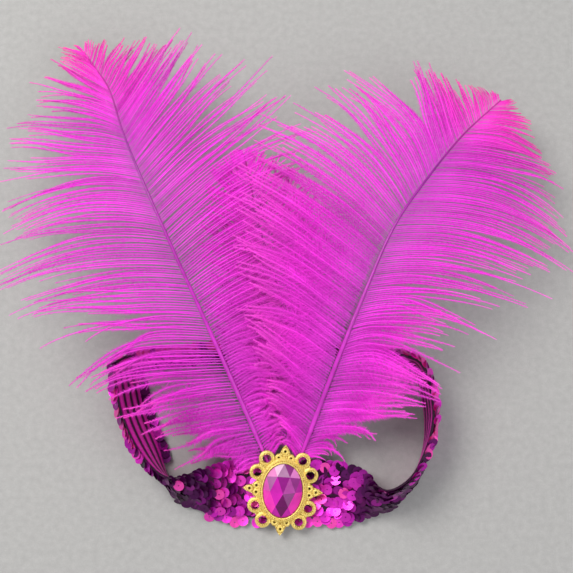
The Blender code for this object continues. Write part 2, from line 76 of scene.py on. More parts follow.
def new_piece(
    name, points, blocks, material, stands_for=(), values=None, uv=None, smooth=True
):
    """A mesh object from points in mm and blocks of faces, riding on the root body.

    Each block is an index array with one face a row. values holds one number a point for each
    named attribute, and uv one pair a point.
    """
    sizes = np.concatenate([np.full(len(block), block.shape[1]) for block in blocks])
    corners = np.concatenate([block.ravel() for block in blocks])
    mesh = bpy.data.meshes.new(name)
    mesh.vertices.add(len(points))
    mesh.vertices.foreach_set("co", (np.asarray(points) * MM).astype(np.float32).ravel())
    mesh.loops.add(len(corners))
    mesh.loops.foreach_set("vertex_index", corners.astype(np.int32))
    mesh.polygons.add(len(sizes))
    mesh.polygons.foreach_set("loop_start", (np.cumsum(sizes) - sizes).astype(np.int32))
    mesh.update(calc_edges=True)
    mesh.polygons.foreach_set("use_smooth", np.full(len(sizes), smooth))
    for key, numbers in (values or {}).items():
        attribute = mesh.attributes.new(key, "FLOAT", "POINT")
        attribute.data.foreach_set("value", np.asarray(numbers, np.float32))
    if uv is not None:
        layer = mesh.uv_layers.new(name="surface")
        layer.data.foreach_set("uv", np.asarray(uv, np.float32)[corners].ravel())
    mesh.materials.append(material)
    piece = add_object(name, mesh)
    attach(piece, "root")
    if stands_for:
        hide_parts(*stands_for)
    triangles = int((sizes - 2).sum())
    print(f"{name}: {len(points)} points, {triangles} triangles")
    return piece


def grid_faces(rows, columns, wrap_rows=False, wrap_columns=False):
    """Quads between neighbours of a rows by columns grid of points, row after row."""
    down = np.arange(rows if wrap_rows else rows - 1)
    over = np.arange(columns if wrap_columns else columns - 1)
    i, j = np.meshgrid(down, over, indexing="ij")
    after_i = (i + 1) % rows
    after_j = (j + 1) % columns
    corners = ((i, j), (after_i, j), (after_i, after_j), (i, after_j))
    return np.stack([row * columns + column for row, column in corners], axis=-1).reshape(-1, 4)


def repeat_faces(faces, points_each, copies):
    """The same faces for each of many copies laid one after another."""
    starts = np.arange(copies) * points_each
    return (faces[None] + starts[:, None, None]).reshape(-1, faces.shape[1])


def smoothstep(value, start, end):
    """0 before start, 1 past end, an even S between them."""
    share = np.clip((np.asarray(value, float) - start) / (end - start), 0, 1)
    return share * share * (3 - 2 * share)


def curve_through(knots, values, at):
    """A smooth curve through (knot, value) rows: cubic pieces whose slope at a row is that of
    the line between its two neighbours."""
    knots = np.asarray(knots, float)
    values = np.asarray(values, float)
    slopes = np.gradient(values, knots, axis=0)
    at = np.clip(np.asarray(at, float), knots[0], knots[-1])
    piece = np.clip(np.searchsorted(knots, at, side="right") - 1, 0, len(knots) - 2)
    span = knots[piece + 1] - knots[piece]
    share = (at - knots[piece]) / span
    if values.ndim > 1:
        share = share[:, None]
        span = span[:, None]
    square = share * share
    cube = square * share
    return (
        (2 * cube - 3 * square + 1) * values[piece]
        + (cube - 2 * square + share) * span * slopes[piece]
        + (3 * square - 2 * cube) * values[piece + 1]
        + (cube - square) * span * slopes[piece + 1]
    )


def round_turn(count):
    """Angles of count even steps round a full turn."""
    return np.arange(count) * 2 * math.pi / count


def unit(vectors):
    """Each vector divided by its own length."""
    return vectors / np.maximum(np.linalg.norm(vectors, axis=-1, keepdims=True), 1e-9)

# %% [markdown]
# ## Line of the band
#
# The band is one closed strip. Its centre line and its lean are given by a short table of places
# round the head opening, and a smooth closed curve runs through them: upright at the back and
# sides, nearly flat under the medallion. The table is the one the solids were built from, so all
# that is sewn on the band lies on them.

# %% Frames along the band

# Sizes in mm, as in the solids.
LOOP_WIDTH = 174
BAND_WIDTH = 31
WEB_THICKNESS = 1.1
RIB_HEIGHT = 0.7
RIBS = 4
SEQUIN_FACE = 1.9
SOLID_STATIONS = 56

BAND_LINE = (
    # across and along as shares of the loop's width, lean in degrees
    (0.000, 0.000, -80),
    (-0.140, 0.000, -80),
    (-0.250, -0.005, -50),
    (-0.330, 0.005, -24),
    (-0.385, 0.045, 0),
    (-0.435, 0.130, 17),
    (-0.485, 0.240, 20),
    (-0.510, 0.345, 19),
    (-0.520, 0.390, 12),
    (-0.480, 0.420, 4),
    (-0.350, 0.435, 0),
    (-0.050, 0.460, 0),
    (0.285, 0.440, 0),
    (0.410, 0.420, 0),
    (0.450, 0.385, 2),
    (0.470, 0.310, 4),
    (0.478, 0.217, 2),
    (0.458, 0.115, -4),
    (0.413, 0.027, -8),
    (0.345, -0.027, -17),
    (0.283, -0.035, -36),
    (0.230, -0.018, -64),
    (0.157, -0.002, -80),
)


def band_frames(stations):
    """Middle point, width direction and outward direction at even steps of length plus twist.

    width = cos(lean) up + sin(lean) out, face = cos(lean) out - sin(lean) up, and the middle is
    lifted until the section's lowest corner touches the floor.
    """
    rows = np.array(BAND_LINE)
    count = len(rows)
    closed = np.concatenate([rows[-3:], rows, rows[:4]])
    knots = np.arange(-3, count + 4)
    fine = np.linspace(0, count, 40 * count + 1)
    line = curve_through(knots, closed, fine)
    steps = np.linalg.norm(np.diff(line[:, :2], axis=0), axis=1) * LOOP_WIDTH
    steps = steps + BAND_WIDTH / 4 * np.radians(np.abs(np.diff(line[:, 2])))
    walked = np.concatenate([[0], np.cumsum(steps)])
    where = np.interp(np.linspace(0, walked[-1], stations, endpoint=False), walked, fine)
    place = curve_through(knots, closed, where)
    ahead = unit((curve_through(knots, closed, where + 0.01) - place)[:, :2])
    outward = np.stack([-ahead[:, 1], ahead[:, 0], np.zeros(stations)], axis=1)
    lean = np.radians(place[:, 2])[:, None]
    up = np.array([[0.0, 0.0, 1.0]])
    width = np.cos(lean) * up + np.sin(lean) * outward
    face = np.cos(lean) * outward - np.sin(lean) * up
    half = BAND_WIDTH / 2
    depths = (-(WEB_THICKNESS + RIB_HEIGHT), SEQUIN_FACE)
    corners = [w * width[:, 2] + n * face[:, 2] for w in (-half, half) for n in depths]
    lowest = np.where(np.abs(lean[:, 0]) < math.radians(1), -half, np.min(corners, axis=0))
    middle = np.column_stack([place[:, :2] * LOOP_WIDTH, -lowest])
    return middle, width, face


def band_corner():
    """Lowest corner of the solid band's box, measured from the front middle of the band."""
    middle, width, face = band_frames(SOLID_STATIONS)
    depths = (0.0, -WEB_THICKNESS, -WEB_THICKNESS - RIB_HEIGHT)
    shares = np.linspace(-0.5, 0.5, 2 * RIBS + 1)
    points = [
        middle + w * BAND_WIDTH * width + n * face
        for k, w in enumerate(shares)
        for n in (0.0, depths[2] if k % 2 else depths[1])
    ]
    return np.min(np.concatenate(points), axis=0)


FRONT = np.array(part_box("elastic_band")[0]) / MM - band_corner()
STATIONS = 1344
BAND = band_frames(STATIONS)


def band_at(share):
    """Middle, width, face and along directions at a share of the loop, between fine stations."""
    spot = np.asarray(share) % 1 * STATIONS
    first = np.floor(spot).astype(int) % STATIONS
    mix = (spot - np.floor(spot))[:, None]
    after = (first + 1) % STATIONS
    middle, width, face = [part[first] * (1 - mix) + part[after] * mix for part in BAND]
    return middle + FRONT, unit(width), unit(face), unit(np.cross(width, face))


loop = np.linalg.norm(np.diff(BAND[0], axis=0, append=BAND[0][:1]), axis=1).sum()
print("front middle at", np.round(FRONT, 2), "mm, loop", round(loop), "mm")

# %% [markdown]
# ## Finishes
#
# A finish is a node tree. What several finishes share is a node group: fine grain for uneven
# gloss and colour, and a tint that follows numbers stored with the points. The shader itself
# stays in each material, and numbers that are the same all over are set on its own sockets.

# %% Node helpers


class Nodes:
    """Short ways to add nodes to a tree. An input is given a socket or a plain value."""

    def __init__(self, tree):
        self.tree = tree

    def set(self, socket, value):
        if isinstance(value, bpy.types.NodeSocket):
            self.tree.links.new(value, socket)
        else:
            socket.default_value = value

    def add(self, kind, **inputs):
        """A node of that kind with its inputs set by name."""
        node = self.tree.nodes.new(kind)
        for key, value in inputs.items():
            self.set(node.inputs[key.replace("_", " ")], value)
        return node

    def math(self, operation, first, second):
        node = self.add("ShaderNodeMath")
        node.operation = operation
        self.set(node.inputs[0], first)
        self.set(node.inputs[1], second)
        return node.outputs[0]

    def range(self, start, to_low, to_high, low=0.0, high=1.0):
        """A value between low and high carried between to_low and to_high, held at the ends."""
        ends = {"From_Min": low, "From_Max": high, "To_Min": to_low, "To_Max": to_high}
        return self.add("ShaderNodeMapRange", Value=start, **ends).outputs[0]


def grain_group():
    """Fine grain: two sizes of noise multiplied, as a mask from 0 to 1 and a height for bump."""
    tree = bpy.data.node_groups.new("fine grain", "ShaderNodeTree")
    for name, way, kind in (
        ("Vector", "INPUT", "NodeSocketVector"),
        ("Scale", "INPUT", "NodeSocketFloat"),
        ("Mask", "OUTPUT", "NodeSocketFloat"),
        ("Height", "OUTPUT", "NodeSocketFloat"),
    ):
        tree.interface.new_socket(name, in_out=way, socket_type=kind)
    nodes = Nodes(tree)
    start = nodes.add("NodeGroupInput").outputs
    place, scale = start["Vector"], start["Scale"]
    coarser = nodes.math("MULTIPLY", scale, 0.17)
    fine = nodes.add("ShaderNodeTexNoise", Vector=place, Scale=scale, Detail=3.0)
    coarse = nodes.add("ShaderNodeTexNoise", Vector=place, Scale=coarser, Detail=2.0)
    both = nodes.math("MULTIPLY", fine.outputs["Fac"], coarse.outputs["Fac"])
    mask = nodes.range(both, 0.0, 1.0, 0.12, 0.40)
    nodes.add("NodeGroupOutput", Mask=mask, Height=fine.outputs["Fac"])
    return tree


GRAIN = grain_group()


class Finish(Nodes):
    """A material in the making: its Principled shader and short ways to add nodes before it."""

    def __init__(self, name, roughness, metallic=0.0, **sockets):
        self.material = bpy.data.materials.new(name)
        self.material.use_nodes = True
        super().__init__(self.material.node_tree)
        self.shader = self.tree.nodes["Principled BSDF"]
        for key, value in {"Roughness": roughness, "Metallic": metallic, **sockets}.items():
            self.into(value, key.replace("_", " "))
        self.place = self.add("ShaderNodeTexCoord").outputs["Object"]

    def into(self, value, socket):
        self.set(self.shader.inputs[socket], value)

    def number(self, name):
        """The number of that name stored with the points."""
        node = self.add("ShaderNodeAttribute")
        node.attribute_name = name
        return node.outputs["Fac"]

    def grain(self, scale):
        """Mask and height of the fine grain."""
        node = self.add("ShaderNodeGroup")
        node.node_tree = GRAIN
        self.set(node.inputs["Vector"], self.place)
        self.set(node.inputs["Scale"], scale)
        return node.outputs["Mask"], node.outputs["Height"]

    def ramp(self, start, *stops):
        """Colours at stops, each (position, red, green, blue)."""
        node = self.add("ShaderNodeValToRGB", Fac=start)
        marks = node.color_ramp.elements
        while len(marks) < len(stops):
            marks.new(0.5)
        for mark, (position, *colour) in zip(marks, stops):
            mark.position = position
            mark.color = (*colour, 1)
        return node.outputs["Color"]

    def mix(self, factor, first, second, blend="MIX"):
        """Colour mix: each value is a socket, a factor or a plain (r, g, b)."""
        node = self.add("ShaderNodeMix")
        node.data_type = "RGBA"
        node.blend_type = blend
        for index, value in ((0, factor), (6, first), (7, second)):
            self.set(node.inputs[index], (*value, 1) if isinstance(value, tuple) else value)
        return node.outputs[2]

    def base(self, colour, shade):
        """Base colour: the colour times a value."""
        grey = self.add("ShaderNodeCombineColor", Red=shade, Green=shade, Blue=shade)
        self.into(self.mix(1.0, colour, grey.outputs[0], "MULTIPLY"), "Base Color")

    def bump(self, height, strength, distance):
        node = self.add("ShaderNodeBump", Strength=strength, Distance=distance, Height=height)
        self.into(node.outputs["Normal"], "Normal")

# %% [markdown]
# ### Dyed feather
#
# The dye takes evenly on the barbs and deeper on the shafts. Beside the shaft the barbs are bare
# and mauve, along their length they are a full magenta, and the worn tips turn pinker. Each point
# stores how far out on its barb it lies, how bright its barb is and how much it blushes. The
# brightness mixes random tone with painted light: ribbons painted brighter than their barbules as a
# highlight along each strand, and downy barbules and the centre plume lifted against their shade.

# %% Feather and shaft finishes


def feather_finish():
    """Colour by reach along the barb, pinker by blush, lighter or darker by tone and painted light.
    """
    sheen = {"Sheen_Weight": 0.16, "Sheen_Roughness": 0.5, "Sheen_Tint": (1.0, 0.35, 0.9, 1)}
    finish = Finish("dyed feather", 0.6, Specular_IOR_Level=0.2, **sheen)
    body = finish.ramp(
        finish.number("reach"),
        (0.0, 0.50, 0.038, 0.46),
        (0.14, 0.70, 0.036, 0.60),
        (0.5, 0.80, 0.026, 0.65),
        (0.88, 0.84, 0.050, 0.64),
        (1.0, 0.86, 0.066, 0.64),
    )
    pink = finish.mix(finish.number("blush"), body, (0.94, 0.035, 0.36))
    patchy = finish.range(finish.grain(55.0)[0], 0.86, 1.06)
    shade = finish.math("MULTIPLY", patchy, finish.number("tone_and_painted_light"))
    finish.base(pink, shade)
    return finish.material


def shaft_finish():
    """Light at the quill, dark plum higher up, with fine lengthwise streaks."""
    finish = Finish("feather shaft", 0.38, Specular_IOR_Level=0.4, Coat_Weight=0.15)
    body = finish.ramp(
        finish.number("reach"),
        (0.0, 0.72, 0.035, 0.62),
        (0.35, 0.52, 0.018, 0.46),
        (0.75, 0.28, 0.006, 0.28),
        (1.0, 0.62, 0.020, 0.34),
    )
    streaks, height = finish.grain(260.0)
    shade = finish.range(streaks, 0.75, 1.08)
    finish.base(body, shade)
    finish.bump(height, 0.4, 0.0002)
    return finish.material


FEATHER = feather_finish()
SHAFT = shaft_finish()
print("feather finishes ready")

# %% [markdown]
# ### Sequins, satin, gold and stone
#
# A sequin is a thin metallised disc that mirrors what it faces, so its colour jumps from disc to
# disc; that brightness is painted, as painted reflection and shade stored with each disc. The
# elastic is ribbed satin with sewn channels, with painted shade in the channels. The setting is
# cast and plated, pitted between its bright rims, with painted shade in its pits and small holes.
# The stone is moulded, and each facet's tone is painted reflection.

# %% Sequin, satin, gold and stone finishes


def sequin_finish():
    """Foil whose colour and brightness follow the disc's tone, which is painted reflection and
    shade, rubbed by fine grain.
    """
    finish = Finish("sequin foil", 0.3, 0.8, Coat_Weight=0.2, Coat_Roughness=0.14)
    body = finish.ramp(
        finish.number("tone_and_painted_light"),
        (0.0, 0.030, 0.0004, 0.034),
        (0.3, 0.17, 0.003, 0.16),
        (0.6, 0.62, 0.012, 0.50),
        (0.85, 0.92, 0.040, 0.68),
        (1.0, 1.0, 0.075, 0.50),
    )
    rubbed, height = finish.grain(700.0)
    shade = finish.range(rubbed, 0.85, 1.05)
    finish.base(body, shade)
    finish.into(finish.range(rubbed, 0.35, 0.48), "Roughness")
    finish.bump(height, 0.15, 0.0002)
    return finish.material


def satin_finish():
    """Painted shade in the sewn grooves, brightest on the rib tops, crossed by fine woven ridges.
    """
    sheen = {"Sheen_Weight": 0.2, "Sheen_Roughness": 0.35, "Sheen_Tint": (1.0, 0.2, 0.75, 1)}
    finish = Finish("ribbed satin", 0.42, Specular_IOR_Level=0.4, **sheen)
    body = finish.ramp(
        finish.number("painted_rib_shade"),
        (0.0, 0.010, 0.0004, 0.010),
        (0.35, 0.07, 0.0015, 0.055),
        (0.65, 0.80, 0.008, 0.46),
        (1.0, 1.0, 0.022, 0.58),
    )
    flat = finish.add("ShaderNodeUVMap")
    flat.uv_map = "surface"
    weave = finish.add(
        "ShaderNodeTexWave", Vector=flat.outputs["UV"], Scale=0.62, Distortion=1.2, Detail=1.0
    )
    weave.bands_direction = "X"
    ridges = weave.outputs["Fac"]
    finish.base(body, finish.range(ridges, 0.72, 1.1))
    threads, height = finish.grain(1400.0)
    finish.into(finish.range(threads, 0.3, 0.55), "Roughness")
    finish.bump(finish.math("ADD", ridges, height), 0.5, 0.0003)
    return finish.material


def gold_finish(name, pitting):
    """Pale plate over a cast surface: small cells for pits, with painted shade inside them and in
    holes.
    """
    finish = Finish(name, 0.4, 0.4)
    pits = finish.add("ShaderNodeTexVoronoi", Vector=finish.place, Scale=1500.0)
    # Pits are painted darker, as painted shade in recesses.
    depth = finish.range(pits.outputs["Distance"], 0.0, 1.0, 0.0, 0.6)
    colour = finish.ramp(
        depth,
        (0.0, 1.0, 0.88, 0.36),
        (0.6, 1.0, 0.79, 0.22),
        (1.0, 0.98 - 0.5 * pitting, 0.76 - 0.5 * pitting, 0.21 - 0.18 * pitting),
    )
    colour = finish.mix(finish.number("painted_hole_shade"), colour, (0.012, 0.001, 0.008))
    mask, height = finish.grain(1500.0)
    shade = finish.range(mask, 1 - 0.25 * pitting, 1.05)
    finish.base(colour, shade)
    finish.into(finish.range(mask, 0.3, 0.55), "Roughness")
    finish.bump(finish.math("SUBTRACT", height, depth), 0.5 * pitting, 0.0005)
    return finish.material


def stone_finish():
    """Painted facet tone from plum to hot pink, washed towards white as a painted highlight where
    the facet is pale.
    """
    coat = {"Coat_Weight": 0.15, "Coat_Roughness": 0.03}
    finish = Finish("painted-reflection stone", 0.12, Specular_IOR_Level=0.3, **coat)
    colour = finish.ramp(
        finish.number("tone_and_painted_light"),
        (0.0, 0.11, 0.0005, 0.075),
        (0.35, 0.26, 0.004, 0.21),
        (0.6, 0.62, 0.010, 0.42),
        (0.8, 0.86, 0.022, 0.44),
        (1.0, 0.92, 0.060, 0.48),
    )
    washed = finish.mix(finish.number("pale"), colour, (0.83, 0.56, 0.76))
    cloud = finish.range(finish.grain(150.0)[0], 0.78, 1.12)
    finish.base(washed, cloud)
    return finish.material


SEQUIN = sequin_finish()
SATIN = satin_finish()
CAST_GOLD = gold_finish("cast gold plate", 1.0)
RIM_GOLD = gold_finish("bright gold rim", 0.35)
STONE = stone_finish()
print("band and medallion finishes ready")

# %% [markdown]
# ## Elastic band
#
# The band is a woven strip sewn in lengthwise channels, so its inner side swells into soft ribs
# with stitched grooves between them. Its colour carries painted shade: dark in the grooves, on the
# outer face under the sequins and on the right wall, brightest on the rib tops. One section is
# carried along the band: flat outside, rounded ribs inside. Small puckers run across the ribs,
# where the elastic gathers the satin.

# %% Build the elastic band


def build_elastic():
    """Section points (w, n) at each station: middle + w width + n face.

    Inside, n = -thickness - rib |sin(pi RIBS w)|^0.7 with puckers; outside, n = 0.
    """
    stations = 560
    inner = np.linspace(-0.5, 0.5, 33)
    outer = np.linspace(0.5, -0.5, 7)
    share = np.concatenate([inner, outer])
    count = len(share)
    at = np.repeat(np.arange(stations) / stations, count)
    w = np.tile(share, stations)
    inside = np.tile(np.arange(count) < len(inner), stations)
    swell = np.abs(np.sin(math.pi * RIBS * (w + 0.5))) ** 0.7
    along = at * loop
    rib = np.floor((w + 0.5) * RIBS)
    pucker = np.sin(along * 2.3 + rib * 1.9 + 0.8 * np.sin(along * 0.31 + rib)) * 0.5 + 0.5
    depth = WEB_THICKNESS + RIB_HEIGHT * swell * (0.86 + 0.14 * pucker) * 1.05
    middle, width, face, _ = band_at(at)
    edge = 0.985 * BAND_WIDTH
    n = np.where(inside, -depth, 0.0)
    points = middle + (w * edge)[:, None] * width + n[:, None] * face
    # Painted shade: darkest in the grooves and on the outer face under the sequins, brightest on
    # the rib tops, and dimmed on the right wall.
    shaded = smoothstep(at, 0.62, 0.7) * (1 - smoothstep(at, 0.86, 0.92))
    painted_rib_shade = np.where(inside, swell**1.7, 0.35) * (1 - 0.3 * shaded)
    uv = np.column_stack([along, w * BAND_WIDTH])
    faces = grid_faces(stations, count, True, True)
    values = {"painted_rib_shade": painted_rib_shade}
    faces = [faces[:, ::-1]]
    return new_piece("satin_band", points, faces, SATIN, ["elastic_band"], values, uv)


satin_band = build_elastic()

# %% [markdown]
# ## Sequins
#
# Each sequin is a nearly flat 6 mm disc with a pin-size hole for the thread. Five rows cover the
# face, each disc half over the next, so they lean along the row like fallen coins. On the side
# walls two sparser rows fold over the upper edge, and on the left one peeps out at the inner foot.
# One small disc is computed once, and arrays of frames put about a thousand copies of it on the
# band with their own lean, turn and brightness. The brightness is painted reflection and shade:
# bright where a disc would mirror the light, dark where it would mirror dark surroundings or lie in
# shade, with a few painted glints. A particle system could scatter them too, but it wouldn't know
# where the rows run.

# %% Build the sequins
SEQUIN_RADIUS = 3.1
SEQUIN_STEP = 3.3
# The bright discs near the medallion are painted bright, as painted reflection.
BRIGHT_END = (38, 47)  # along from the medallion, where the bright discs end
WALL_START = (66, 96)  # where the band turns up into its side walls
FACE_ROWS = 5
EDGE_ROW, FOOT_ROW, EXTRA_EDGE_ROW = 5, 6, 7

# Single discs on the front: most hang loose past the lower edge, one lies over the upper one.
LOOSE = (
    # along the band, past the lower edge, lean, tone as painted reflection
    (-62.0, -29.0, 40, 1.00),
    (-43.5, 1.2, 8, 0.95),
    (-38.0, -0.6, 30, 0.35),
    (-33.0, 0.2, 20, 0.80),
    (-27.5, 2.6, 6, 1.00),
    (-22.0, 1.6, 14, 0.92),
    (-14.0, 2.8, 12, 0.85),
    (-9.0, 1.4, 25, 0.55),
    (9.0, 1.6, 24, 0.65),
    (13.5, 2.6, 14, 0.90),
    (19.0, 2.0, 10, 0.95),
    (24.0, 0.8, 22, 0.70),
    (28.5, 2.6, 5, 1.00),
    (36.5, 1.8, 9, 0.90),
    (41.5, 0.4, 26, 0.45),
)


def ring_round(profile, centre, oval, steps):
    """A closed profile (offset, height) carried round an oval: (oval + offset) (cos t, sin t)."""
    t = round_turn(steps)
    x = centre[0] + (oval[0] + profile[:, 0][None]) * np.cos(t)[:, None]
    y = centre[1] + (oval[1] + profile[:, 0][None]) * np.sin(t)[:, None]
    z = np.repeat(profile[:, 1][None], steps, axis=0)
    return np.stack([x, y, z], axis=-1).reshape(-1, 3), grid_faces(steps, len(profile), True, True)


def sequin_disc():
    """Profile (radius, height) turned round in 12 steps: hole edge, floor, rim, and the back."""
    profile = np.array([(0.36, 0.1), (1.7, 0.14), (SEQUIN_RADIUS, 0.24), (0.38, -0.03)])
    return ring_round(profile, (0, 0), (0, 0), 12)


def place_copies(shape, centres, x, y, z):
    """Copies of a shape: centre + px x + py y + pz z, all copies and points at once."""
    px, py, pz = shape[:, :1], shape[:, 1:2], shape[:, 2:]
    return centres[:, None] + (px * x[:, None] + py * y[:, None] + pz * z[:, None])


def tilted(x, z, angle):
    """The pair of directions x, z turned by an angle about the third."""
    c = np.cos(angle)[:, None]
    s = np.sin(angle)[:, None]
    return c * x + s * z, c * z - s * x


def sequin_painted_reflections(distance):
    """Painted reflection: bright beside the medallion, dark where the band turns up, bright again
    on the side walls, darker on the right as painted shade, with a few painted glints.

    distance is measured along the band from the medallion, positive to the left.
    """
    far = np.abs(distance)
    near = 1 - smoothstep(far, *BRIGHT_END)
    wall = smoothstep(far, 82, 104)
    right = distance < 0
    base = 0.22 + (0.52 - 0.18 * right) * near + (0.5 - 0.2 * right) * wall * (1 - near)
    jumps = (0.16 + 0.08 * right) * near * rng.choice([-1.6, 0.2, 0.5, 0.9], len(distance))
    spread = rng.normal(0, 0.1, len(distance)) + jumps
    flash = (rng.uniform(size=len(distance)) < 0.05) * rng.uniform(0.3, 0.7, len(distance))
    return np.clip(base + spread + flash, 0.0, 1.0)


def build_sequins():
    """Five rows over the face, two folded over the upper edge, one at the inner foot.

    A disc sits at w across and lift over the face. It leans along the row, rolls a little, and on
    the side walls the edge rows turn to look up and in.
    """
    rows = 8
    each = int(loop / SEQUIN_STEP)
    row = np.repeat(np.arange(rows), each)
    share = np.tile(np.arange(each) / each, rows) + 0.5 / each * (row % 2)
    share = share + rng.normal(0, 0.2 / each, len(row))
    distance = ((share + 0.5) % 1 - 0.5) * loop
    wall = smoothstep(np.abs(distance), *WALL_START)
    odds = np.where(row == EXTRA_EDGE_ROW, 0.6, 1.0 * (distance > 0)) * wall
    keep = (row <= EDGE_ROW) | (rng.uniform(size=len(row)) < odds)
    row, share, distance, wall = row[keep], share[keep], distance[keep], wall[keep]
    top = (row == EDGE_ROW) | (row == EXTRA_EDGE_ROW)
    foot = row == FOOT_ROW
    right = distance < 0
    front = 1 - wall
    count = len(row)
    half = BAND_WIDTH / 2
    w = ((row + 0.5) / FACE_ROWS - 0.5) * (BAND_WIDTH - 1.0)
    w = w + rng.normal(0, 0.45 + 0.5 * front, count)
    on_edge = half - 0.9 + (0.9 + rng.normal(0, 0.5, count)) * wall
    w = np.where(top, on_edge, np.where(foot, 1.8 - half, w))
    middle, width, face, along = band_at(share)
    left_near = smoothstep(distance, 20, 26) * (1 - smoothstep(distance, 40, 48))
    lean = rng.normal(13, 7, count) + 20 * left_near + rng.normal(0, 9, count) * front
    roll = np.radians(rng.normal(0, 9 + 5 * front, count))
    chance = 0.3 * (1 - smoothstep(np.abs(distance), *BRIGHT_END))
    on_top = (rng.uniform(size=count) < chance) & (row < FACE_ROWS)
    lean = np.radians(np.where(on_top, rng.normal(6, 7, count), lean))
    facing_up = np.where(right, 40, 62) + rng.normal(0, 9, count)
    upper = 10 * wall * (row == FACE_ROWS - 1)
    fold = np.radians(np.where(top, facing_up * wall, np.where(foot, 124, upper)))
    outwards = np.cos(fold)[:, None] * face + np.sin(fold)[:, None] * width
    over = np.cos(fold)[:, None] * width - np.sin(fold)[:, None] * face
    turn = rng.uniform(0, 2 * math.pi, count)
    x, z = tilted(along, outwards, lean)
    y, z = tilted(over, z, roll)
    x, y = tilted(x, y, turn)
    lift = np.where(foot, -4.0, SEQUIN_FACE * 0.45) + rng.uniform(0.0, 0.9, count)
    lift = np.where(top, 0.6 + rng.uniform(0, 0.5, count), lift + 0.9 * on_top)
    centres = middle + w[:, None] * width + lift[:, None] * face
    # Painted reflection and shade: the foot row is painted dark with rare glints, edge rows on the
    # walls get painted glints, and discs lying on top are painted bright.
    tone_and_painted_light = sequin_painted_reflections(distance)
    tone_and_painted_light = np.where(foot, 0.1 + 0.6 * rng.uniform(size=count) ** 4, tone_and_painted_light)
    rim_glint = np.clip(tone_and_painted_light + rng.choice([-0.35, 0.25, 0.35, 0.45], count), 0, 1)
    tone_and_painted_light = np.where(top & (wall > 0.5), rim_glint, tone_and_painted_light)
    shine = rng.uniform(0.7, 0.95, count) - 0.2 * right
    tone_and_painted_light = np.where(on_top, np.maximum(tone_and_painted_light, shine), tone_and_painted_light)
    shape, faces = sequin_disc()
    points = place_copies(shape, centres, x, y, z)
    where, past, slant, shine = np.array(LOOSE).T
    place, wide, out, ahead = band_at(-where / loop)
    over = np.where(past < -half / 2, 4.2, 1.2)[:, None]
    hanging = place - (half + past)[:, None] * wide + over * out
    slope, facing = tilted(-wide, out, np.radians(slant))
    points = np.concatenate([points, place_copies(shape, hanging, ahead, slope, facing)])
    tone_and_painted_light = np.concatenate([tone_and_painted_light, shine])
    low = points[:, :, 2].min(axis=1)
    points[:, :, 2] += np.maximum(0.15 - low, 0)[:, None]
    return new_piece(
        "sequins",
        points.reshape(-1, 3),
        [repeat_faces(faces, len(shape), len(points))],
        SEQUIN,
        ["sequin_layer"],
        {"tone_and_painted_light": np.repeat(tone_and_painted_light, len(shape))},
        smooth=False,
    )


build_sequins()

# %% [markdown]
# ## Plumes
#
# An ostrich plume has a tapering shaft with long soft barbs on both sides, and each barb carries
# downy barbules on its own two sides. That is why it looks like fur from afar and like strands at
# its edge. The barbs gather into locks towards their tips. Particle hair would give strands too,
# but it has no barbules and is not a mesh, so the barbs are computed: one curve a barb, a narrow
# ribbon along it, and hundreds of tiny leaves on both sides.

# %% Plume tables
SETTING_TOP = 14.8
LEVEL_STEP = 3.5
FRONT_TILT = math.radians(10)
QUILL_HEIGHT = 7.61
QUILL_WIDTH = 1.8
SIDE_SAG = 22
CLIMB = (18, 34)  # back from the medallion, where the plumes leave its slope
PART = (21, 35)  # where they part in levels and the quills swell
RISE = np.array(
    # distance back from the medallion's middle, height
    ((0, 7.6), (26, 12.1), (40, 17), (60, 27), (76, 34), (95, 38), (130, 42), (170, 43))
    + ((210, 39), (270, 30))
)

# Each row of a vane follows one barb, in hundredths of the plume's length along its heading and
# aside to the right. A shaft's rows are thousandths. No barbs grow before the bare share, and a
# level lifts the whole plume.
LEFT_PLUME_LEFT_VANE = (
    # root, middle along, middle aside, tip along, tip aside
    (0, 1, -5, 1, -10),
    (6, 8, -8, 8, -15),
    (12, 15, -11, 16, -20),
    (20, 25, -14, 26, -25),
    (30, 37, -16, 38, -30),
    (45, 53, -17, 56, -34),
    (56, 65, -15, 68, -33),
    (65, 73, -13, 77, -30),
    (72, 80, -11, 87, -26),
    (79, 87, -6, 95, -17),
    (86, 93, -3, 100, -9),
    (94, 98, 0, 103, -3),
    (100, 102, 0, 104, -1),
)
LEFT_PLUME_RIGHT_VANE = (
    # root, middle along, middle aside, tip along, tip aside
    (0, 2, 3, 2, 5),
    (8, 8, 4, 6, 7),
    (16, 16, 6, 13, 10),
    (24, 24, 8, 22, 15),
    (33, 34, 11, 33, 21),
    (45, 48, 15, 48, 30),
    (54, 59, 18, 61, 36),
    (60, 66, 18, 72, 37),
    (66, 73, 16, 80, 33),
    (75, 82, 12, 90, 24),
    (86, 90, 8, 96, 15),
    (94, 97, 4, 100, 7),
    (100, 102, 1, 104, 1),
)
RIGHT_PLUME_LEFT_VANE = (
    # root, middle along, middle aside, tip along, tip aside
    (0, 2, -4, 2, -7),
    (8, 9, -8, 8, -13),
    (16, 17, -13, 16, -21),
    (25, 26, -17, 26, -29),
    (34, 36, -22, 36, -36),
    (47, 50, -26, 51, -45),
    (58, 64, -26, 66, -44),
    (66, 75, -23, 78, -40),
    (72, 81, -18, 87, -33),
    (79, 87, -13, 95, -22),
    (87, 92, -9, 98, -15),
    (95, 98, -4, 100, -7),
    (100, 101, -1, 102, -1),
)
